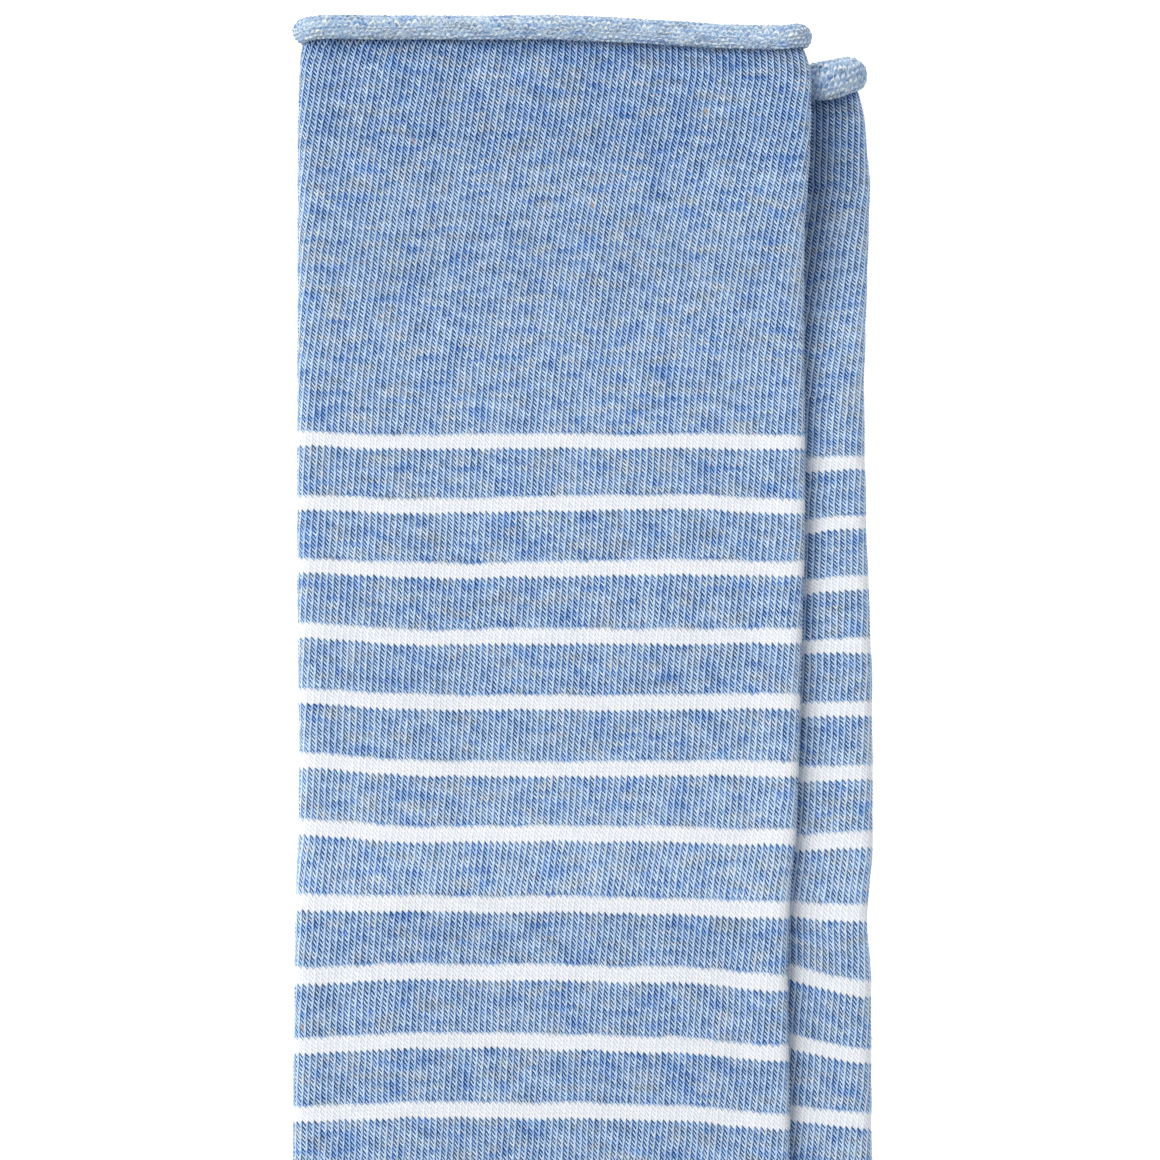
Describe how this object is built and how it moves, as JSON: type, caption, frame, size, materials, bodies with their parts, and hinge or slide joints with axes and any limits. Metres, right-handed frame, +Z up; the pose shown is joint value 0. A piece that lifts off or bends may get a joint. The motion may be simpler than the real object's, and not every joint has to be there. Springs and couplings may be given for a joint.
{
  "type": "pair of socks",
  "caption": "Pair of fine-knit crew socks with rolled edges and plain cross stripes, lying flat in profile, one on the other.",
  "frame": {"origin": "middle of the pair's box, on the surface it lies on", "axes": "+Z up from the surface, +Y up the legs to their rolled edges, +X across the legs to the heel side"},
  "size_m": [0.217, 0.3248, 0.0168],
  "materials": {
    "blue_knit": "fine heather-blue jersey with plain white cross stripes",
    "rolled_knit": "the same yarn showing its purl side, slightly fuzzy"
  },
  "bodies": {
    "root": {"front_sock": "blue_knit", "front_rolled_edge": "rolled_knit", "back_sock": "blue_knit", "back_rolled_edge": "rolled_knit"}
  },
  "joints": []
}
